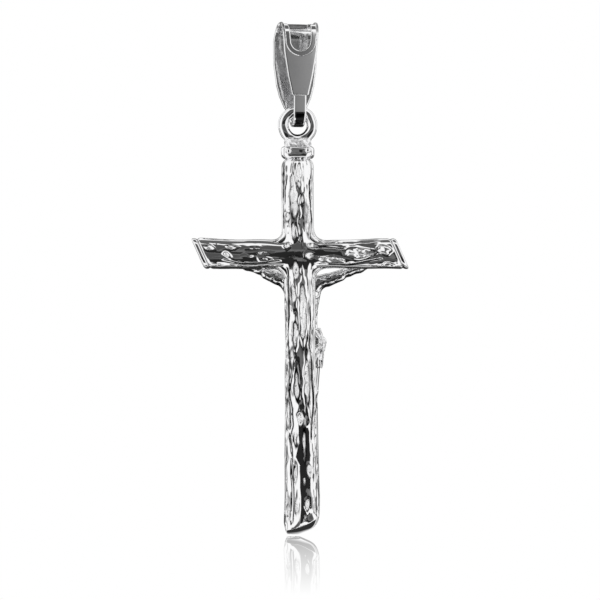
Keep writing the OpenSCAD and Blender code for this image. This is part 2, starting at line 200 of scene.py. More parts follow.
def trim(a, b, k):
    """The larger of two distances, which keeps what two forms share, rounded over a width k."""
    return -join(-a, -b, k)


def bell(x, width):
    return np.exp(-(x / width) ** 2)


def rounded(a, b, squareness):
    """Distance from the middle in a section that is squarer than a round one, or less square."""
    return (np.abs(a) ** squareness + np.abs(b) ** squareness) ** (1 / squareness)


def rotate(a, b, degrees):
    c, s = cos(radians(degrees)), sin(radians(degrees))
    return a * c + b * s, b * c - a * s


def read(table, x, column=1):
    """A column of a table at x, in straight lines between its rows."""
    return np.interp(x, table[:, 0], table[:, column])


def filtered_noise(shape, sigma, seed):
    """Smooth noise between about -1 and 1 that wraps; sigma is in cells, one for each axis."""
    spectrum = np.fft.rfft2(np.random.default_rng(seed).standard_normal(shape))
    rows = np.fft.fftfreq(shape[0])[:, None]
    columns = np.fft.rfftfreq(shape[1])[None, :]
    spectrum *= np.exp(-2 * pi ** 2 * ((sigma[0] * rows) ** 2 + (sigma[1] * columns) ** 2))
    smooth = np.fft.irfft2(spectrum, shape)
    return smooth / (2 * smooth.std())


def hollow_edge(along, across, half, wide, taper):
    """Distance outside the edge of a lens-shaped hollow of a half length and half width."""
    u = along / half
    tapered = wide * np.clip(1 + taper * u, 0.25, 1.9)
    return (rounded(u, across / tapered, HOLLOW_SQUARENESS) - 1) * wide


def bank(edge):
    """The bank round a hollow: one at its edge, falling in a straight slope to zero."""
    fall = np.clip(1 - np.maximum(edge - 0.02, 0) / BANK_WIDTH, 0, 1)
    return fall - 0.1 * np.sin(2 * pi * fall) / 2


def dip(edge):
    """Depth of a hollow in millimetres: straight sides that meet a rounded bottom."""
    inside = np.maximum(-edge, 0)
    return join(SIDE_SLOPE * inside, np.full_like(inside, MOST_DEPTH), 0.05)


class Hollows:
    """Hollows in a surface: how far places lie in one, its depth, its bank and the line of painted shade
    round it.
    """

    def __init__(self, shape):
        self.sink, self.dips, self.banks, self.painted_shades = np.zeros((4, *shape))

    def add(self, edge, depth, rise, painted_shade):
        self.sink = np.maximum(self.sink, depth * ease(0, -0.12, edge))
        self.dips = np.maximum(self.dips, depth * dip(edge))
        self.banks = np.maximum(self.banks, rise * bank(edge))
        self.painted_shades = np.maximum(self.painted_shades, painted_shade * bell(edge + 0.02, PAINTED_SHADE_WIDTH))

    def relief(self):
        return self.dips - BANK_HEIGHT * self.banks


class Bark:
    """Relief of a log's surface: how far it lies under the plain section, over share and angle."""

    def __init__(self, pits, grooves, length, radius, seed, move, swell, lumps, lines, creases):
        self.rows = int(length / BARK_CELL)
        self.columns = BARK_COLUMNS
        share = (np.arange(self.rows) + 0.5)[:, None] / self.rows
        angle = (np.arange(self.columns) + 0.5)[None, :] * 360 / self.columns
        cell_along = length / self.rows
        cell_round = 2 * pi * radius / self.columns
        shape = (self.rows, self.columns)

        def noise(along, around, number):
            return filtered_noise(shape, (along / cell_along, around / cell_round), seed + number)

        drift = noise(0.9, 0.5, 0)
        wobble = noise(0.22, 0.13, 1)
        ridges = noise(1.8, 0.26, 2)
        fine = noise(0.17, 0.1, 3)
        strands = noise(0.9, 0.1, 4)
        broad = noise(1.3, 0.42, 5)
        broken = noise(0.5, 0.25, 6)

        def across(turn):
            """How far round the surface places lie from an angle, in millimetres."""
            around = (angle - turn + 900) % 360 - 180
            return np.radians(around) * radius + 0.05 * drift

        # Each hollow and groove is on the back, and again on the front, moved along the log
        hollows = Hollows(shape)
        for place, turn, size, width, depth, rise, *taper in pits:
            place = place / 1000
            half = size / 1000 * length / 2
            for middle, way in ((place, turn), ((place + move) % 1, turn + 180)):
                edge = hollow_edge((share - middle) * length, across(way), half, width / 2, sum(taper))
                hollows.add(edge + EDGE_WOBBLE * wobble, depth, rise, depth)
        cuts = np.zeros(shape)
        for groove in grooves:
            line = np.array(groove) / (1000, 1)
            first, last = line[0, 0], line[-1, 0]
            ends = ease(first, first + 0.02, share) * ease(last, last - 0.02, share)
            for half_round, shift in ((0, 0), (180, move / 2)):
                turn = read(line, (share + shift) % 1) + half_round
                fade = np.roll(ends, -int(shift * self.rows), 0)
                from_line = across(turn) + 0.02 * wobble
                cuts = np.maximum(cuts, fade * bell(from_line, GROOVE_WIDTH))
        sink = hollows.sink
        # Painted shade: dark lines round the edges of the hollows and in the grooves, where shade falls in
        # the recesses
        painted_shade = np.maximum(lines * hollows.painted_shades * ease(-0.8, 0.1, broken), 0.9 * cuts ** 2)
        calm = 0.35 + 0.65 * ease(0.72, 0.6, share)
        crease = bell(ridges, 0.13) * ease(-0.4, 0.1, broken) * (1 - sink)
        crease = crease * ease(0.35, 0.6, calm)
        relief = (hollows.relief() + GROOVE_DEPTH * cuts + 0.07 * creases * crease
                  - 0.03 * ridges * calm - swell * broad * calm - 0.004 * strands + lumps * fine * sink)
        # The creases get painted shade as well
        self.tables = {"relief": relief, "hollow": sink, "painted_shade": np.maximum(painted_shade, creases * crease ** 2)}

    def look(self, name, share, angle):
        """The relief, hollow or painted shade at a share and angle."""
        table = self.tables[name]
        row = np.clip(share * self.rows - 0.5, 0, self.rows - 1.001)
        column = (angle / 360 * self.columns - 0.5) % self.columns
        r0 = row.astype(np.int32)
        c0 = column.astype(np.int32)
        c1 = (c0 + 1) % self.columns
        fr = row - r0
        fc = column - c0
        upper, lower = (table[r, c0] * (1 - fc) + table[r, c1] * fc for r in (r0, r0 + 1))
        return upper * (1 - fr) + lower * fr


def shoulders(share, angle):
    """How far the upright's surface drops away beside the flat strip, in millimetres."""
    radius = UPRIGHT_WIDTH / 2
    left = np.radians(read(UPRIGHT_FLAT, share, 1) - angle) * radius
    right = np.radians(angle - read(UPRIGHT_FLAT, share, 2)) * radius
    drop = np.interp(left, (0, 0.05, 0.66, 1.9), (0, 0.007, 0.2, 0))
    drop = drop + np.interp(right, (0, 0.05, 0.36, 1.5), (0, 0.006, 0.1, 0))
    return drop * ease(0.635, 0.665, share)


upright_bark = Bark(UPRIGHT_PITS, UPRIGHT_GROOVES, UPRIGHT_LENGTH, UPRIGHT_WIDTH / 2,
                    seed=11, move=0.37, swell=0.02, lumps=0.045, lines=0.8, creases=0.5)
beam_bark = Bark(BEAM_PITS, BEAM_GROOVES, BEAM_LENGTH, BEAM_HEIGHT / 2,
                 seed=23, move=0.41, swell=0.08, lumps=0.09, lines=0.1, creases=0.12)


def section(cos_a, sin_a, half_wide, half_deep, squareness):
    """Radius of a rounded section with two half widths, in a direction."""
    total = (np.abs(cos_a) / half_wide) ** squareness + (np.abs(sin_a) / half_deep) ** squareness
    return total ** (-1 / squareness)


def end_band(from_end):
    """A smooth band at a log's end: how far its groove lies under the band."""
    return 0.08 * bell(from_end - 0.5, 0.1)


def upright_place(p):
    """Share down the upright, place and angle round its middle, and distance from its foot's end."""
    share = (UPRIGHT_TOP - p[:, 2]) / UPRIGHT_LENGTH
    centre = 0.03 * np.sin(np.radians(share * 1500)) - UPRIGHT_DRIFT * read(UPRIGHT_SHAPE, share)
    x = p[:, 0] - centre
    angle = np.degrees(np.arctan2(p[:, 1], x)) % 360
    foot = UPRIGHT_TOP - UPRIGHT_LENGTH - FOOT_DROP + (UPRIGHT_WIDTH / 2 - x) * tan(FOOT_SLANT)
    from_foot = (p[:, 2] - foot) * cos(FOOT_SLANT)
    plain = ease(0.7, 1.4, from_foot) * ease(-0.02, 0.01, share)
    return share, x, angle, from_foot, plain


def upright_solid(p):
    """Distance to the upright log."""
    share, x, angle, from_foot, plain = upright_place(p)
    y = p[:, 1]
    r = np.hypot(x, y) + 1e-9
    slim = read(UPRIGHT_SHAPE, share, 2)
    relief = plain * (upright_bark.look("relief", share, angle) + shoulders(share, angle))
    wide, deep = UPRIGHT_WIDTH / 2 * slim, UPRIGHT_DEPTH / 2 * (0.6 + 0.4 * slim)
    deep = deep + 0.9 * np.clip(share - 0.87, 0, 0.1)
    square = section(x / r, y / r, wide, deep, FOOT_SQUARENESS)
    size = section(x / r, y / r, wide, deep, UPRIGHT_SQUARENESS + 0.7 * ease(0.5, 0.7, share))
    size = size + (square - size) * ease(1.5, 0.8, from_foot)
    side = (r - size - 0.03 + relief) * 0.9
    ends = np.maximum(-from_foot, p[:, 2] - UPRIGHT_TOP - 0.1)
    # The foot's edge is sharp on its back and front, and round at its low corner
    corner = np.where(x > 0, 1.5, 0.5) * (x / r) ** 2
    rounding = 1 + (corner - 0.4) * ease(3, 1, from_foot)
    return trim(side, ends, rounding)


def upright_marks(p):
    """How far places lie in a hollow, frosted less at the log's sides, and how much painted shade lies on
    them.
    """
    share, _, angle, from_foot, plain = upright_place(p)
    frost = 1 - 0.8 * ease(38, 58, np.abs(angle % 180 - 90))
    hollow = plain * frost * upright_bark.look("hollow", share, angle)
    painted_shade = plain * upright_bark.look("painted_shade", share, angle)
    return hollow, painted_shade


def beam_place(p):
    """Share along the crossbeam, height and angle round its middle, and distance from its nearer end."""
    z = p[:, 2] - BEAM_Z - 0.08
    x = p[:, 0] + UPRIGHT_DRIFT - 0.06
    along = x - z * tan(BEAM_SLANT)
    length = BEAM_LENGTH + 0.3
    share = np.clip(0.5 - along / length, 0, 1)
    z = z + 0.1 * (1 - (2 * share - 1) ** 2) - 0.03 * np.sin(np.radians(share * 1300))
    angle = np.degrees(np.arctan2(p[:, 1], z)) % 360
    from_end = (length / 2 - np.abs(along)) * cos(BEAM_SLANT)
    return share, z, angle, from_end, ease(0.6, 0.8, from_end)


def beam_solid(p):
    """Distance to the crossbeam log."""
    share, z, angle, from_end, plain = beam_place(p)
    y = p[:, 1]
    r = np.hypot(y, z) + 1e-9
    relief = plain * beam_bark.look("relief", share, angle)
    tall = BEAM_HEIGHT / 2 * (1 - 0.09 * (1 - (2 * share - 1) ** 2))
    deep = BEAM_DEPTH / 2 * (1 + 0.05 * bell((share - 0.5) * BEAM_LENGTH, 2.4))
    size = section(y / r, z / r, deep, tall, BEAM_SQUARENESS)
    side = (r - size - 0.03 + relief + end_band(from_end)) * 0.9
    return trim(side, -from_end, 0.22)


def beam_marks(p):
    """How far places lie in a hollow of the crossbeam's bark, and how much painted shade lies on them."""
    share, _, angle, from_end, plain = beam_place(p)
    hollow = 0.25 * plain * beam_bark.look("hollow", share, angle)
    painted_shade = plain * beam_bark.look("painted_shade", share, angle)
    # The grooves round the crossbeam's ends get painted shade too
    return hollow, np.maximum(painted_shade, 6 * end_band(from_end))


def grit(p, size, seed):
    """Lumpy noise between about -1 and 1, made of waves in random directions."""
    rng = np.random.default_rng(seed)
    total = 0
    for _ in range(7):
        way = rng.standard_normal(3)
        way *= 2 * pi / (size * norm(way))
        total = total + np.sin(p @ way + rng.uniform(0, 6.28))
    return total / 3


def fittings_solid(p):
    """Distance to the collar, the solder neck and the hanging ring."""
    x, y, z = p.T
    radial = np.hypot(x, y) + 1e-9
    radial = radial * rounded(x / radial, 1.12 * y / radial, COLLAR_SQUARENESS)
    band_z = z - (UPRIGHT_TOP + COLLAR_HEIGHT / 2)
    flat_z = np.maximum(np.abs(band_z) - 0.22, 0)
    band = np.hypot(np.maximum(radial - (COLLAR_WIDTH / 2 - 0.35), 0), flat_z) - 0.35
    band = band + 0.018 * grit(p, 0.75, 5)
    for across, up in ((0.86, 0.66), (-0.96, 0.74)):
        bead = norm(p - (across, 1.22, UPRIGHT_TOP + up), axis=1) - 0.3
        band = join(band, bead, 0.04)
    neck_z = np.abs(z - (COLLAR_TOP + NECK_HEIGHT / 2 - 0.1)) - (NECK_HEIGHT / 2 + 0.1)
    neck = trim(radial - NECK_WIDTH / 2, neck_z, 0.3) + 0.04 * grit(p, 0.42, 6)
    from_wire = np.hypot(x, z - RING_Z) - RING_RADIUS
    ring = rounded(from_wire, y, RING_SQUARENESS) - RING_WIRE / 2 + 0.022 * grit(p, 1.1, 7)
    return join(join(band, neck, 0.08), ring, 0.16)


def crossing_relief(p):
    """Relief of the hollows where the logs cross, and how far places lie in one and in its line of painted
    shade.
    """
    hollows = Hollows([len(p)])
    for across, up, half, wide, slope, rise in CROSSING_PITS:
        x, z = rotate(p[:, 0] + UPRIGHT_DRIFT - across, p[:, 2] - BEAM_Z - up, slope)
        hollows.add(hollow_edge(x, z, half, wide, 0), 1, rise, 0.5)
    back = ease(0.3, 0.8, p[:, 1])
    relief = hollows.relief() + 0.03 * grit(p, 0.4, 8) * hollows.sink
    return relief * back, hollows.sink * back, hollows.painted_shades * back


def fillet_lines(p, upright, beam):
    """Grooves that sweep round the inner corners of the crossing: one in a groove, zero outside."""
    depth = np.abs(p[:, 1]) + 0.06 * np.sin(p[:, 0] * 2.1) * np.cos(p[:, 2] * 1.7)
    lines = bell(depth - 1.02, 0.06) + bell(depth - 0.66, 0.05)
    return lines * ease(0.9, 0.45, np.abs(upright - beam))


def cross_solid(p):
    blend = 0.3 + 0.8 * ease(1.3, 0.8, np.abs(p[:, 1]))
    upright, beam = upright_solid(p), beam_solid(p)
    logs = join(upright, beam, blend) + 0.8 * crossing_relief(p)[0]
    logs = logs + 0.07 * fillet_lines(p, upright, beam)
    return join(logs, fittings_solid(p), 0.06)


def cross_marks(p, normals):
    """For each place: how hollow it is, how much painted shade lies on it, and its grain coordinates."""
    upright, beam = upright_solid(p), beam_solid(p)
    up = upright < beam
    hollow_up, painted_shade_up = upright_marks(p)
    hollow_beam, painted_shade_beam = beam_marks(p)
    _, sink, painted_shades = crossing_relief(p)
    # Painted shade in the grooves round the inner corners of the crossing
    painted_shades = np.maximum(painted_shades, 0.8 * fillet_lines(p, upright, beam))
    solder = ease(0.12, 0, np.abs(p[:, 2] - (NECK_TOP - 0.3)) - 0.3)
    fittings = fittings_solid(p) < 0.03
    hollow = np.where(fittings, 0.6 * solder, np.maximum(np.where(up, hollow_up, hollow_beam), 0.4 * sink))
    painted_shade = np.where(fittings, 0, np.maximum(np.where(up, painted_shade_up, painted_shade_beam), painted_shades))
    grain = np.where(up[:, None], p * (1, 1, 0.22), p * (0.22, 1, 1))
    return hollow, painted_shade, grain


def lattice(counts):
    """All cells of a grid, by their numbers along its three axes."""
    return np.stack(np.unravel_index(np.arange(np.prod(counts)), counts), -1)


def sample_grid(solid, low, high, step, block=6):
    """Values of a solid's distance on a grid, worked out only in the blocks near its surface."""
    count = np.ceil((high - low) / (step * block)).astype(int)
    blocks = lattice(count)
    middle = solid(low + (blocks + 0.5) * step * block)
    value = np.where(middle < 0, -1, 1).astype(np.float32).reshape(count)
    value = value.repeat(block, 0).repeat(block, 1).repeat(block, 2)
    near = np.flatnonzero(np.abs(middle) < step * block * 1.3 + 0.12)
    corner = blocks[near] * block
    inner = lattice([block] * 3)
    for start in range(0, len(corner), 1000):
        index = (corner[start:start + 1000, None] + inner).reshape(-1, 3)
        value[index[:, 0], index[:, 1], index[:, 2]] = solid(low + index * step)
    return value


def surface(solid, low, high, step):
    """Vertices and quads of a solid's surface: one vertex in each cell that the surface crosses."""
    low = low - 2.5 * step
    value = sample_grid(solid, low, high + 3 * step, step)
    cells = np.array(value.shape) - 1
    ids, points, quads = [], [], []
    for axis in range(3):
        first = value.take(range(cells[axis]), axis)
        second = value.take(range(1, cells[axis] + 1), axis)
        index = np.argwhere((first < 0) != (second < 0))
        v0 = first[tuple(index.T)]
        v1 = second[tuple(index.T)]
        where = index.astype(float)
        where[:, axis] += v0 / (v0 - v1)
        u, w = (axis + 1) % 3, (axis + 2) % 3
        keep = (index[:, u] > 0) & (index[:, w] > 0) & (index[:, u] < cells[u]) & (index[:, w] < cells[w])
        index, where, v0 = index[keep], where[keep], v0[keep]
        around = []
        for du, dw in ((1, 1), (0, 1), (0, 0), (1, 0)):
            cell = index.copy()
            cell[:, u] -= du
            cell[:, w] -= dw
            around.append(np.ravel_multi_index(cell.T, cells))
            ids.append(around[-1])
            points.append(where)
        quad = np.stack(around, 1)
        quads.append(np.where((v0 < 0)[:, None], quad, quad[:, ::-1]))
    ids = np.concatenate(ids)
    points = np.concatenate(points)
    names, inverse = np.unique(ids, return_inverse=True)
    total = np.bincount(inverse)
    vertices = np.stack([np.bincount(inverse, points[:, a]) / total for a in range(3)], 1)
    faces = np.searchsorted(names, np.concatenate(quads))
    vertices = low + vertices * step
    for _ in range(2):
        vertices = vertices - pull(solid, vertices, 0.3 * step, 0.7 * step)
    return vertices, faces


def gradient(solid, vertices, reach):
    moves = np.eye(3) * reach
    return np.stack([solid(vertices + move) - solid(vertices - move) for move in moves], 1) / (2 * reach)


def pull(solid, vertices, reach, most):
    """The step that brings each vertex onto the surface, no longer than most."""
    slope = gradient(solid, vertices, reach)
    size = np.maximum((slope ** 2).sum(1), 0.05)
    step = slope * (solid(vertices) / size)[:, None]
    length = norm(step, axis=1, keepdims=True)
    return step * np.minimum(1, most / np.maximum(length, 1e-9))


def thin_out(vertices, faces):
    """Fewer triangles: edges are collapsed where the surface is plainest."""
    obj = new_object("dense", vertices, faces)
    mesh = obj.data
    obj.modifiers.new("fewer", "DECIMATE").ratio = MOST_TRIANGLES / (2 * len(faces))
    fewer = obj.evaluated_get(bpy.context.evaluated_depsgraph_get()).to_mesh()
    fewer.calc_loop_triangles()
    points = np.empty(len(fewer.vertices) * 3)
    fewer.vertices.foreach_get("co", points)
    triangles = np.empty(len(fewer.loop_triangles) * 3, np.int32)
    fewer.loop_triangles.foreach_get("vertices", triangles)
    obj.to_mesh_clear()
    bpy.data.objects.remove(obj)
    bpy.data.meshes.remove(mesh)
    return points.reshape(-1, 3) / MM, triangles.reshape(-1, 3)


def new_object(name, vertices, faces):
    """An object of triangles or quads, in millimetres."""
    mesh = bpy.data.meshes.new(name)
    mesh.vertices.add(len(vertices))
    mesh.vertices.foreach_set("co", (vertices * MM).astype(np.float32).ravel())
    mesh.loops.add(faces.size)
    mesh.loops.foreach_set("vertex_index", faces.astype(np.int32).ravel())
    mesh.polygons.add(len(faces))
    mesh.polygons.foreach_set("loop_start", np.arange(0, faces.size, faces.shape[1], dtype=np.int32))
    mesh.polygons.foreach_set("use_smooth", np.ones(len(faces), bool))
    mesh.update(calc_edges=True)
    obj = bpy.data.objects.new(name, mesh)
    scene.collection.objects.link(obj)
    return obj


def marked_object(name, vertices, faces, normals, marks):
    """An object with its own normals, and with its marks for the material as attributes."""
    obj = new_object(name, vertices, faces)
    mesh = obj.data
    for key, values in zip(("hollow", "painted_shade"), marks):
        layer = mesh.attributes.new(key, "FLOAT", "POINT")
        layer.data.foreach_set("value", np.asarray(values, np.float32))
    layer = mesh.attributes.new("grain", "FLOAT_VECTOR", "POINT")
    layer.data.foreach_set("vector", np.asarray(marks[2] * MM, np.float32).ravel())
    mesh.normals_split_custom_set_from_vertices(normals.tolist())
    return obj


# The bail, in its own turned axes
BAIL_TURN = 11
BAIL_STRIP = 0.46
FOLD_RADIUS = box_mm("bail")[1][2]
PIVOT_Z = RING_Z + RING_RADIUS
EYE_PLAY = 0.46
EYE_Z = PIVOT_Z - 0.1
EYE_RADIUS = RING_WIRE / 2 + EYE_PLAY + BAIL_STRIP
LEAF_END_Z = 0.79 * PIVOT_Z

# Half widths of the bail's leaves.
# Columns: height as a share of the way from the fold down to the ring's wire, half width
FRONT_LEAF = np.array([
    (-0.25, 1.8), (0, 2.1), (0.33, 2.1), (0.62, 1.85), (0.79, 1.55), (0.94, 1.11), (1.03, 0.6)])
BACK_LEAF = np.array([(-0.25, 1.8), (0.18, 1.58), (0.52, 1.21), (0.785, 0.81), (0.8, 0.6)])
WINDOW_WIDTH = 2.2
WINDOW_DROP = 1.16
CUT_PLACE = 0.45 * FOLD_RADIUS


def bail_axes(p):
    return *rotate(p[:, 0], p[:, 1], BAIL_TURN), p[:, 2]


def drop_distance(y, z):
    """Distance to the outside of the bail's side view: two rounds joined by tangents."""
    height = -EYE_Z
    lean = (FOLD_RADIUS - EYE_RADIUS) / height
    flat = sqrt(1 - lean * lean)
    across, down = np.abs(y), -z
    k = -lean * across + flat * down
    fold = rounded(across, down, FOLD_SQUARENESS)
    upper = np.where(down < 0, fold, np.hypot(across, down)) - FOLD_RADIUS
    lower = np.hypot(across, down - height) - EYE_RADIUS
    side = across * flat + down * lean - FOLD_RADIUS
    return np.where(k < 0, upper, np.where(k > flat * height, lower, side))


def window_distance(x, z):
    r = 0.86 * WINDOW_WIDTH / 2
    centre = r - WINDOW_DROP
    flare = r + (WINDOW_WIDTH / 2 - r) * np.clip((z - centre) / (FOLD_RADIUS - centre), 0, 1)
    return np.where(z > centre, np.abs(x) - flare, np.hypot(x, z - centre) - r)


def bail_solid(p):
    x, y, z = bail_axes(p)
    share = z / PIVOT_Z
    front = read(FRONT_LEAF, share)
    half = front + (read(BACK_LEAF, share) - front) * ease(-0.25, 0.25, y)
    outer = drop_distance(y, z)
    window = window_distance(x, z)
    band = ease(0.5, 0.46, window) * ease(-0.75, -0.55, y)
    bevel = (0.02 + 0.05 * np.clip(z + 1.7, 0, 3)) * band
    step = 0.08 * ease(LEAF_END_Z + 0.03, LEAF_END_Z - 0.03, z) * ease(-0.1, 0.1, y)
    crown = 0.02 * np.minimum(x / 1.3, 1.5) ** 2
    shell = np.maximum(outer + bevel + step + crown, -(outer + BAIL_STRIP))
    body = trim(shell, np.abs(x) - half, 0.16)
    cut = np.maximum(window, -(y + CUT_PLACE))
    return trim(body, -cut, 0.1)


def bail_marks(p, normals):
    """The bail's inner face and cut edge are satin, and its fold and its eye get painted shade: dark bands
    that stand in for reflections.
    """
    x, y, z = bail_axes(p)
    outer = drop_distance(y, z)
    inner = ease(-BAIL_STRIP + 0.1, -BAIL_STRIP + 0.02, outer)
    edge = ease(0.08, 0.03, np.abs(y + CUT_PLACE)) * ease(0.05, -0.05, window_distance(x, z))
    eye = ease(EYE_Z - 0.12, EYE_Z - 0.3, z) * ease(0.44, 0.38, np.abs(x))
    fold = 0.5 * ease(0.2, 0.5, z / FOLD_RADIUS)
    # Painted reflection: dark bands on the fold and the eye
    dark = np.maximum(eye, fold) * ease(-0.2, -0.1, outer)
    return 0.5 * np.maximum(inner, edge), dark, p


FIGURE_HEIGHT = 20.4
GAP = 0.06
PROUD = 0.05
UPRIGHT_FRONT = -UPRIGHT_DEPTH / 2 - PROUD - GAP
CROWN_Z = BEAM_Z + 0.9


def limb(q, start, end, start_radius, end_radius):
    """Distance to a rounded cone between two places, given in thousandths."""
    a = np.array(start) / 1000
    way = np.array(end) / 1000 - a
    t = np.clip((q - a) @ way / (way @ way), 0, 1)
    radius = (start_radius + (end_radius - start_radius) * t) / 1000
    return norm(q - a - t[:, None] * way, axis=1) - radius


def lump(q, centre, radii, lean=0):
    """Distance to an ellipsoid in thousandths, leaning by an angle in the plane of across and down."""
    d = q - np.array(centre) / 1000
    if lean:
        x, z = rotate(d[:, 0], d[:, 2], lean)
        d = np.stack([x, d[:, 1], z], 1)
    r = np.array(radii) / 1000
    k0 = norm(d / r, axis=1)
    k1 = norm(d / r ** 2, axis=1) + 1e-9
    return k0 * (k0 - 1) / k1


def form(q, row):
    """Distance to a limb, which has four values, or to a lump, which has two or three."""
    return limb(q, *row) if len(row) == 4 else lump(q, *row)


def melt(q, rows, blend, total=None):
    """Limbs and lumps run together, and into what is there already."""
    for row in rows:
        d = form(q, row)
        total = d if total is None else join(total, d, blend)
    return total


def carve(q, rows, total):
    """Each limb or lump in turn is added, or cut away where its blend is less than zero."""
    for *row, blend in rows:
        d = form(q, row)
        k = abs(blend) / 1000
        total = join(total, d, k) if blend > 0 else trim(total, -d, k)
    return total


# Limbs and lumps on the figure, in thousandths of its height: across, forward, down.
# Columns of limbs: start, end, radius at the start, radius at the end.
# Columns of lumps: middle, half sizes, and lean in degrees where there is one
TRUNK = [
    ((-40, 46, 215), (-34, 42, 330), 46, 36), ((22, 46, 212), (10, 42, 330), 46, 36),
    ((-37, 38, 330), (-52, 42, 440), 34, 38), ((6, 38, 330), (-4, 42, 440), 34, 38),
    ((-6, 60, 165), (-14, 74, 120), 30, 27), ((-14, 60, 250), (52, 36, 60)),
]
SHOULDERS = [
    ((-16, 56, 158), (-72, 38, 172), 20, 26), ((4, 56, 156), (62, 38, 166), 20, 26),
    ((-78, 32, 190), (-52, 34, 300), 21, 20), ((68, 32, 184), (28, 34, 300), 21, 20),
]
CHEST = [((-44, 82, 212), (37, 17, 27), -18), ((29, 82, 208), (37, 17, 27), 18)]
BELLY = [
    ((-30, 72, 305), (13, 9, 14)), ((-5, 72, 304), (13, 9, 14)),
    ((-33, 70, 336), (13, 8, 13)), ((-8, 70, 335), (13, 8, 13)),
    ((-24, 66, 378), (24, 10, 26)),
]
COLLARBONES = [((-12, 83, 163), (-60, 66, 160), 5, 5.5), ((2, 83, 162), (50, 66, 156), 5, 5.5)]
NECK_CORDS = [((-10, 84, 160), (-40, 78, 105), 5.5, 7), ((0, 84, 160), (12, 80, 105), 5.5, 7)]
ARM_RIGHT = [
    ((-70, 40, 178), (-120, 34, 162), 34, 28), ((-110, 34, 166), (-225, 22, 124), 28, 21),
    ((-228, 22, 122), (-275, 20, 104), 22, 24), ((-275, 20, 104), (-360, 10, 71), 24, 13.5),
    ((-130, 26, 172), (-190, 20, 150), 20, 17), ((-135, 46, 152), (-190, 36, 133), 16, 15),
]
ARM_LEFT = [
    ((60, 40, 172), (108, 34, 152), 34, 28), ((98, 34, 156), (192, 22, 114), 28, 21),
    ((196, 22, 112), (250, 20, 93), 22, 24), ((250, 20, 93), (352, 10, 60), 24, 13.5),
    ((112, 26, 163), (165, 20, 141), 20, 17), ((118, 46, 142), (165, 36, 123), 16, 15),
]
# The right leg and the left one by turns
LEGS = [
    ((-58, 44, 450), (-54, 74, 680), 43, 29), ((0, 42, 452), (3, 62, 690), 41, 29),
    ((-53, 72, 700), (-50, 52, 765), 26, 27), ((2, 62, 708), (-4, 40, 775), 26, 27),
    ((-50, 50, 770), (-26, 42, 905), 27, 15.5), ((-4, 38, 780), (-14, 20, 905), 27, 15.5),
]
KNEES = [((-52, 94, 692), (15, 13, 19)), ((3, 83, 700), (15, 13, 19))]
# The figure's right foot, in front, and then its left one
FEET = [
    ((-24, 40, 918), (-30, 62, 962), 16.5, 12.5), ((-22, 38, 935), (-22, 56, 965), 12.5, 11),
    ((-12, 16, 912), (-6, 40, 962), 15, 12), ((-10, 14, 930), (0, 34, 962), 12, 11),
]
TOES = [
    ((-40, 63, 965), (-43, 66, 984), 6.2, 5.6), ((-32.5, 65, 968), (-34.5, 68, 990), 5.8, 5.2),
    ((-26, 64, 968), (-27, 67, 990), 5.6, 5), ((-20, 62, 966), (-20.5, 65, 986), 5.4, 4.8),
    ((-14.5, 59, 963), (-14.5, 62, 980), 5.2, 4.6), ((8, 40, 962), (11, 44, 984), 6.4, 5.8),
    ((0.5, 40, 965), (2, 44, 989), 5.8, 5.2), ((-6, 40, 966), (-6, 44, 989), 5.6, 5),
]
KNOT = [
    ((-100, 44, 452), (-96, 50, 476), 22, 20), ((-88, 62, 448), (-104, 52, 470), 11, 10),
    ((-104, 40, 470), (-98, 46, 500), 14, 10), ((-94, 52, 480), (-90, 58, 545), 14, 10),
    ((-102, 40, 490), (-96, 44, 535), 11, 9),
]

# Columns: place of the knuckle across the hand, length, how far the tip lies to one side
FINGERS = ((-14, 30, 4), (-4.5, 36, 0), (5, 34, -3), (13.5, 27, -5))
THUMB = [((390, 14, 36), (404, 20, 24), 7.5, 6.2), ((404, 20, 24), (414, 26, 21), 6, 4.8)]

# The head, mirrored about its middle: across, forward and up from its middle.
# Columns: as for limbs or lumps, and then the blend, less than zero where the form is cut away
FACE = [
    ((0, 8, -18), (31.5, 36, 42), 12), ((0, 18, -46), (22, 24, 19), 12),
    ((0, 39.5, 9.5), (20, 34.5, 8.5), 6, 5, 8), ((15, 51, -2), (10.5, 12, 8), -7),
    ((15, 34, -3), (8.5, 7.5, 6), 2), ((8.5, 41.2, -5.5), (21.5, 37.5, -5), 0.9, 0.9, -1.2),
    ((23.5, 27, -16), (9, 11, 8.5), 10), ((0, 41, 7), (0, 53, -21), 3.8, 5.2, 6),
    ((6.2, 46.5, -23.5), (4.2, 5.8, 4), 3),
]
BEARD = [
    ((26.5, 8, -20), (20, 20, -56), 7.5, 10, 10), ((5, 33, -62), (6.5, 37, -86), 11, 4, 6),
    ((1.5, 47.5, -33), (15, 38.5, -42), 4.2, 3.4, 3),
]
MOUTH = [((0, 48, -41.5), (8.5, 44, -42), 1.4, 1, -2), ((0, 44, -45), (6, 42, -45), 3.2, 2.4, 2)]
LOCKS = [
    ((33, 20, 30), (41, 10, -10), 11, 11), ((41, 10, -10), (38.5, 13, -52), 11, 11.5),
    ((38.5, 13, -52), (43, 12, -92), 11.5, 8),
]


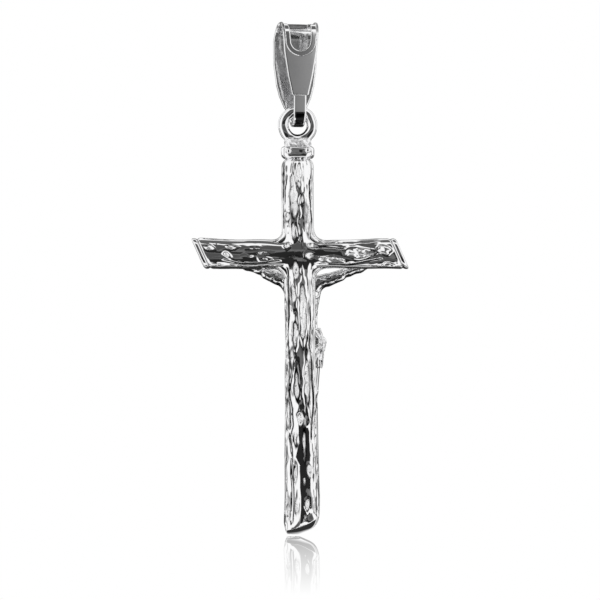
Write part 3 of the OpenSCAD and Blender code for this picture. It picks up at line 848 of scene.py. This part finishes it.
def hand(q, side):
    """Distance to a hand: palm, four fingers and a thumb; side is -1 for the figure's right."""
    d = q * (side, 1, 1)
    wrist, down = (360, 71) if side < 0 else (352, 60)
    palm = limb(d, (wrist, 10, down), (392, 10, 51), 13.5, 15)
    total = join(palm, lump(d, (402, 11, 48), (22, 10.5, 20)), 0.01)
    for place, length, lift in FINGERS:
        knuckle = (418, 13, 46 + place)
        middle = (418 + 0.55 * length, 19, 45 + place * 1.2 + lift * 0.4)
        tip = (418 + 0.82 * length, 30, 45 + place * 1.25 + lift)
        finger = np.minimum(limb(d, knuckle, middle, 5.6, 5.2), limb(d, middle, tip, 5.2, 4.2))
        total = join(total, finger, 0.004)
    total = join(total, melt(d, THUMB, 0.004), 0.007)
    nail = lump(d, (398, 21.5, 49), (7.5, 5, 7.5))
    return join(total, nail, 0.0015)


# The head: middle, and how far it nods and leans to the figure's right
HEAD = np.array((-0.024, 0.088, 0.066))
NOD = 16
LEAN = 12


def head_axes(q):
    """The head's own axes: across, forward and up from its middle."""
    x, y, z = (q - HEAD).T
    x, z = rotate(x, -z, LEAN)
    z, y = rotate(z, y, NOD)
    return np.stack([x, y, z], 1)


def head(q):
    h = head_axes(q)
    h[:, 0] = np.abs(h[:, 0])
    side, forward, up = h.T
    skull = carve(h, FACE, lump(h, (0, -6, 12), (40, 47, 48)))
    beard = carve(h, BEARD, lump(h, (0, 22, -58), (25.5, 23, 20)))
    wave = 0.0011 * np.sin(side * 900 + 1.2 * np.sin(up * 260)) * ease(-0.028, -0.036, up)
    skull = carve(h, MOUTH, join(skull, beard + wave, 0.004))
    # Long hair, parted in the middle, waving down behind the cheeks to the shoulders
    cap = join(lump(h, (0, -10, 12), (48, 51, 53)), lump(h, (0, -26, -50), (44, 28, 56)), 0.02)
    opening = lump(h, (0, 56, -8), (32, 56, 50))
    hair = join(trim(cap, -opening, 0.008), melt(h, LOCKS, 0.01), 0.008)
    turn = np.arctan2(side, forward + 0.012)
    hair = hair + 0.0017 * np.sin(turn * 17 + 1.3 * np.sin(up * 130) + 9 * np.maximum(up, 0) * 12)
    part = limb(h, (0, 50, 40), (0, -10, 68), 2.2, 2.2)
    return join(skull, trim(hair, -part, 0.004), 0.003)


def torso(q):
    """Distance to the trunk, with ribs, the arch under them, the line down the belly and the navel."""
    x, y, z = q.T
    trunk = None
    for rows, blend in ((TRUNK, 0.03), (SHOULDERS, 0.026), (CHEST, 0.01), (BELLY, 0.008)):
        trunk = melt(q, rows, blend, trunk)
    across = x + 0.014 + 0.06 * (z - 0.25)
    away = np.abs(across)
    arch = z - 0.25 - 2.6 * np.maximum(away - 0.006, 0) ** 1.1 * 0.9
    rib_zone = ease(0.022, 0.04, away) * ease(0.225, 0.24, z)
    rib_zone = rib_zone * ease(0.325, 0.3, z) * ease(0.035, 0.05, y)
    ribs = 0.0018 * np.sin((z - 0.35 * away) * 2 * pi / 0.021) * rib_zone
    front = ease(0.05, 0.065, y)
    costal = 0.0045 * bell(arch, 0.007) * front
    costal = costal * ease(0.24, 0.252, z) * ease(0.335, 0.315, z)
    centre = 0.003 * bell(across, 0.0045) * ease(0.175, 0.19, z)
    centre = centre * ease(0.375, 0.355, z) * front
    navel = lump(q, (-22, 82, 362), (3.8, 6, 4.8))
    trunk = trim(trunk + ribs + 0.5 * costal + centre, -navel, 0.004)
    for first, second in (COLLARBONES, NECK_CORDS):
        trunk = join(trunk, np.minimum(limb(q, *first), limb(q, *second)), 0.008)
    return trunk


def loincloth(q, hips):
    """Distance to the cloth, whose folds spread from the knot at the figure's right hip."""
    x, _, z = q.T
    turn = np.arctan2(z - 0.455, x + 0.105)
    reach = np.hypot(x + 0.105, z - 0.455)
    crease = 0.0042 * np.sin(turn * 15 + 0.8 * np.sin(reach * 45)) * ease(0.012, 0.05, reach)
    droop = 0.0025 * np.sin(turn * 31 + 2 * np.sin(reach * 30))
    top = 0.394 + 0.1 * (x + 0.03) - z
    hem = z - 0.56 - 0.25 * np.abs(x + 0.026) + 0.004 * np.sin(x * 260)
    cloth = trim(hips - 0.0085 + crease + droop * 0.5, trim(top, hem, 0.004), 0.006)
    twist = hips - 0.0125 + 0.0018 * np.sin(turn * 40 + x * 500)
    roll = trim(twist, np.abs(top + 0.006) - 0.004, 0.006)
    pleats = 0.0016 * np.sin(x * 620 + z * 90) * ease(0.47, 0.5, z)
    return join(join(cloth, roll, 0.003), melt(q, KNOT, 0.005) + pleats, 0.005)


def figure(q):
    """Distance to the skin and the cloth, in shares of the figure's height."""
    trunk = torso(q)
    arms = np.minimum(melt(q, ARM_RIGHT, 0.012), melt(q, ARM_LEFT, 0.012))
    skin = join(trunk, arms, 0.02)
    for side in (-1, 1):
        skin = join(skin, hand(q, side), 0.008)
    legs = join(melt(q, LEGS[0::2], 0.016), melt(q, LEGS[1::2], 0.016), 0.006)
    legs = join(legs, np.minimum(lump(q, *KNEES[0]), lump(q, *KNEES[1])), 0.012)
    hips = join(trunk, legs, 0.02)
    feet = join(melt(q, FEET[0:2], 0.01), melt(q, FEET[2:4], 0.01), 0.003)
    feet = melt(q, TOES, 0.0025, feet)
    nail = lump(q, (-22, 60, 938), (8.5, 6, 8.5))
    feet = join(feet, nail, 0.0015)
    for part, blend in ((legs, 0.02), (feet, 0.008), (head(q), 0.006), (loincloth(q, hips), 0.0025)):
        skin = join(skin, part, blend)
    return skin


def corpus_solid(p):
    q = np.stack([p[:, 0] + UPRIGHT_DRIFT, UPRIGHT_FRONT - p[:, 1], CROWN_Z - p[:, 2]], 1) / FIGURE_HEIGHT
    body = figure(q) * FIGURE_HEIGHT
    # The back of the casting is flat where it lies on the cross, and rough
    side = np.abs(q[:, 0])
    axis = np.interp(side, (0.05, 0.2, 0.35, 0.42), (0.03, 0.02, 0.008, 0.006))
    back = ease(axis, axis - 0.01, q[:, 1])
    body = body - (0.07 * np.maximum(grit(p, 0.55, 9) - 0.45, 0) + 0.006 * grit(p, 0.8, 10)) * back
    flat = np.interp(side, (0.1, 0.14), (0.02, -0.11)) - q[:, 1] * FIGURE_HEIGHT
    return trim(body, flat, 0.15)


def corpus_marks(p, normals):
    """The back of the casting is left as cast, and its lower edges, which face down and back, get painted
    shade.
    """
    rough = ease(0.25, 0.6, normals[:, 1]) * ease(CROWN_Z - 8, CROWN_Z - 6.5, p[:, 2])
    # Painted shade on surfaces that face down and back, standing in for the dark floor they would mirror
    under = ease(0.3, 0.62, -normals[:, 2]) * ease(-0.45, 0, normals[:, 1])
    return 0.7 * rough * (1 - under), 0.7 * under, p


# Materials
def fresh_tree(owner, output):
    """An empty node tree for a material or world, and its output node."""
    owner.use_nodes = True
    tree = owner.node_tree
    tree.nodes.clear()
    return tree, tree.nodes.new(output)


def feed(tree, node, inputs):
    """Feeds inputs by name or number: a constant on the node's own socket, an output by a link."""
    for key, value in inputs.items():
        if isinstance(value, bpy.types.NodeSocket):
            tree.links.new(value, node.inputs[key])
        else:
            node.inputs[key].default_value = value
    return node


def make(tree, kind, inputs):
    return feed(tree, tree.nodes.new(kind), inputs).outputs


def noise_node(tree, scale, detail, vector):
    inputs = {"Scale": scale, "Detail": detail, "Vector": vector}
    return make(tree, "ShaderNodeTexNoise", inputs)["Fac"]


def ramp(tree, value, low, high, start=0, end=1):
    """A value that runs from start to end as another one runs from low to high."""
    inputs = {"Value": value, "From Min": low, "From Max": high, "To Min": start, "To Max": end}
    return make(tree, "ShaderNodeMapRange", inputs)["Result"]


def math_node(tree, operation, *values, kind="ShaderNodeMath"):
    node = tree.nodes.new(kind)
    node.operation = operation
    return feed(tree, node, dict(enumerate(values))).outputs[0]


def times(tree, a, b):
    return math_node(tree, "MULTIPLY", a, b)


def mix(tree, factor, a, b, data_type="FLOAT"):
    node = tree.nodes.new("ShaderNodeMix")
    node.data_type = data_type
    return feed(tree, node, {"Factor": factor, "A": a, "B": b}).outputs["Result"]


BRIGHT = (0.95, 0.95, 0.955, 1)
# Dark for the random specks in the hollows, and for painted shade
SPECKS_AND_PAINTED_SHADE = (0.02, 0.02, 0.021, 1)
WHITE = (1, 1, 1, 1)


def silver(name, polish, hollow_rough, hollow_metal, hollow_shade, grain_size, grain_depth):
    """Polished silver: a mirror on its ridges, frosted in its hollows, with painted shade in the dark
    lines round them.
    """
    material = bpy.data.materials.new(name)
    tree, out = fresh_tree(material, "ShaderNodeOutputMaterial")
    shader = tree.nodes.new("ShaderNodeBsdfPrincipled")
    feed(tree, out, {"Surface": shader.outputs["BSDF"]})
    place = tree.nodes.new("ShaderNodeTexCoord").outputs["Object"]
    marks = {}
    for key, output in (("hollow", "Fac"), ("painted_shade", "Fac"), ("grain", "Vector")):
        node = tree.nodes.new("ShaderNodeAttribute")
        node.attribute_name = key
        marks[key] = node.outputs[output]
    sunk = marks["hollow"]
    smear = noise_node(tree, 900, 3, place)
    grains = noise_node(tree, 1 / (grain_size * MM), 2, marks["grain"])
    dots = noise_node(tree, 1.6 / (grain_size * MM), 2, place)
    plain = ramp(tree, smear, 0.3, 0.7, polish * 0.6, polish * 1.5)
    speck = times(tree, sunk, ramp(tree, dots, 0.59, 0.65, 0, hollow_shade))
    # Painted shade: the base colour goes dark on the marked lines round hollows, in grooves and creases,
    # on the bail's fold and eye and under the figure; the specks are dark grain
    dark = math_node(tree, "MAXIMUM", speck, ramp(tree, marks["painted_shade"], 0.15, 0.7))
    depth = math_node(tree, "ADD", times(tree, sunk, 0.98), 0.02)
    height = times(tree, depth, math_node(tree, "ADD", grains, dots))
    bump = make(tree, "ShaderNodeBump", {"Distance": grain_depth * MM, "Height": height})
    feed(tree, shader, {
        "Base Color": mix(tree, dark, BRIGHT, SPECKS_AND_PAINTED_SHADE, "RGBA"),
        "Roughness": math_node(tree, "MULTIPLY_ADD", sunk, hollow_rough, plain),
        "Metallic": ramp(tree, sunk, 0.1, 0.8, 1, hollow_metal),
        "Normal": bump["Normal"]})
    return material


# Columns: name, roughness, and in hollows: more roughness, metal and shade of the specks, and the
# size and depth of the grain in millimetres
log_metal = silver("log_metal", 0.04, 0.2, 0.2, 0.8, 0.4, 0.02)
figure_metal = silver("figure_metal", 0.07, 0.04, 1, 0.2, 0.3, 0.02)
bail_metal = silver("bail_metal", 0.07, 0.1, 1, 0.2, 0.45, 0.01)

CROSS_STEP = 0.06
BAIL_STEP = 0.055
CORPUS_STEP = 0.06
MOST_TRIANGLES = 196000
MARGIN = 0.1


def dress(name, solid, marks, step, material, body, node):
    """A piece with its own skin, made in the box of the CAD node that it stands for."""
    low, high = box_mm(node)
    vertices, faces = surface(solid, low - MARGIN, high + MARGIN, step)
    if 2 * len(faces) > MOST_TRIANGLES:
        vertices, faces = thin_out(vertices, faces)
        vertices = vertices - pull(solid, vertices, 0.02, 0.02)
    normals = gradient(solid, vertices, 0.025)
    normals /= norm(normals, axis=1, keepdims=True)
    piece = marked_object(name, vertices, faces, normals, marks(vertices, normals))
    piece.data.materials.append(material)
    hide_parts(node)
    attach(piece, body)


dress("cross_cast", cross_solid, cross_marks, CROSS_STEP, log_metal, "cross", "cross")
dress("bail_folded", bail_solid, bail_marks, BAIL_STEP, bail_metal, "bail", "bail")
dress("corpus_cast", corpus_solid, corpus_marks, CORPUS_STEP, figure_metal,
      "cross", "corpus")

# Floor, tent and camera
FLOOR_Z = CROSS_LOW[2] - 0.45
PHOTO_SIDE = 600
ORIGIN_COLUMN = 297.7
ORIGIN_ROW = 40
PIXEL = 0.095
VIEW_X = (ORIGIN_COLUMN - PHOTO_SIDE / 2) * PIXEL
VIEW_Z = (ORIGIN_ROW - PHOTO_SIDE / 2) * PIXEL
LENS = 150
SENSOR = 36
DISTANCE = PHOTO_SIDE * PIXEL * LENS / SENSOR

camera = bpy.data.objects.new("camera", bpy.data.cameras.new("camera"))
scene.collection.objects.link(camera)
camera.data.lens = LENS
camera.data.sensor_width = SENSOR
camera.data.clip_start = 0.01
camera.data.clip_end = 10
camera.location = (VIEW_X * MM, DISTANCE * MM, VIEW_Z * MM)
camera.rotation_euler = (radians(90), 0, radians(180))
bpy.context.scene.camera = camera
scene.view_settings.view_transform = "Standard"


def sector(tree, toward, inner, outer, inside=1, outside=0):
    """The value inside within the inner angle from a direction, and outside beyond the outer one."""
    return ramp(tree, toward, cos(radians(outer)), cos(radians(inner)), outside, inside)


def split(tree, vector):
    return make(tree, "ShaderNodeSeparateXYZ", {0: vector})


def directions(tree, vector):
    """Cosines of the angle round the vertical from plus Y, minus Y, the sides and the front diagonals."""
    flat = math_node(tree, "MULTIPLY", vector, (1, 1, 0), kind="ShaderNodeVectorMath")
    unit = split(tree, math_node(tree, "NORMALIZE", flat, kind="ShaderNodeVectorMath"))
    side = math_node(tree, "ABSOLUTE", unit["X"])
    near = unit["Y"]
    away = times(tree, near, -1)
    diagonal = times(tree, math_node(tree, "ADD", side, away), sqrt(0.5))
    return near, away, side, diagonal


def plain_ray(tree):
    """One for rays from the camera, the floor's gloss or matt surfaces, which see an even white tent."""
    path = tree.nodes.new("ShaderNodeLightPath")
    plain = math_node(tree, "MAXIMUM", path.outputs["Is Camera Ray"], path.outputs["Is Diffuse Ray"])
    return math_node(tree, "MAXIMUM", plain, path.outputs["Is Singular Ray"])


def build_world():
    """A white tent with grey cards behind the camera, in front of the figure and at the sides."""
    world = bpy.data.worlds.new("tent")
    scene.world = world
    tree, out = fresh_tree(world, "ShaderNodeOutputWorld")
    vector = tree.nodes.new("ShaderNodeTexCoord").outputs["Generated"]
    near, away, side, _ = directions(tree, vector)
    height = split(tree, vector)["Z"]
    grey = times(tree, sector(tree, near, 13, 24, 0.15, 0.26), ramp(tree, height, 0.04, 0.12, 1, 0.55))
    grey = times(tree, grey, ramp(tree, height, -0.035, -0.015, 0.08, 1))
    grey = mix(tree, ramp(tree, height, 0.64, 0.72), grey, 1)
    front = times(tree, sector(tree, away, 8, 30, 0.3, 0.1), ramp(tree, height, -0.03, 0, 0.3, 1))
    front = mix(tree, ramp(tree, height, 0.58, 0.68), front, 1)
    level = 1
    for toward, inner, outer, value in (
            (near, 25, 31, grey), (away, 26, 34, front), (side, 16, 26, 0.92), (side, 4.5, 6.5, 0.1)):
        level = mix(tree, sector(tree, toward, inner, outer), level, value)
    level = mix(tree, ramp(tree, height, 0.87, 0.9), level, 0.12)
    level = mix(tree, plain_ray(tree), level, 1)
    back = make(tree, "ShaderNodeBackground", {"Color": WHITE, "Strength": level})
    feed(tree, out, {0: back[0]})


def build_floor():
    """White paper with a faint mirror near the object. In the metal it shows the tent's cards too."""
    bpy.ops.mesh.primitive_plane_add(size=2, location=(0, 0, FLOOR_Z * MM))
    floor = bpy.context.object
    floor.name = "floor"
    material = bpy.data.materials.new("floor")
    tree, out = fresh_tree(material, "ShaderNodeOutputMaterial")
    place = tree.nodes.new("ShaderNodeTexCoord").outputs["Object"]
    near, away, side, diagonal = directions(tree, place)
    distance = tree.nodes.new("ShaderNodeVectorMath")
    distance.operation = "LENGTH"
    reach = feed(tree, distance, {0: place}).outputs["Value"]
    patch = times(tree, ramp(tree, reach, 0.001, 0.002), ramp(tree, reach, 0.013, 0.015, 1, 0))
    ring = times(tree, ramp(tree, reach, 0.001, 0.003), ramp(tree, reach, 0.6, 0.8, 1, 0))
    level = 1
    # Each card's zone round the object, its direction, its half widths in degrees, and its brightness
    for zone, toward, inner, outer, value in (
            (ramp(tree, reach, 0.031, 0.035), near, 25, 31, 0.02), (patch, near, 60, 80, 0.03),
            (ring, away, 24, 34, 0.03), (ring, diagonal, 11, 17, 0.1),
            (ring, side, 16, 26, 0.92), (ring, side, 7, 10, 0.1)):
        level = mix(tree, times(tree, zone, sector(tree, toward, inner, outer)), level, value)
    level = mix(tree, plain_ray(tree), level, 1)
    paper = make(tree, "ShaderNodeEmission", {"Strength": level})
    gloss = make(tree, "ShaderNodeBsdfGlossy", {"Roughness": 0, "Color": WHITE})
    seen = tree.nodes.new("ShaderNodeLightPath").outputs["Is Camera Ray"]
    fade = times(tree, ramp(tree, reach, 0, 0.048, 0.62, 0), seen)
    mixed = make(tree, "ShaderNodeMixShader", {"Fac": fade, 1: paper[0], 2: gloss[0]})
    feed(tree, out, {"Surface": mixed[0]})
    floor.data.materials.append(material)


build_world()
build_floor()

bpy.context.view_layer.update()
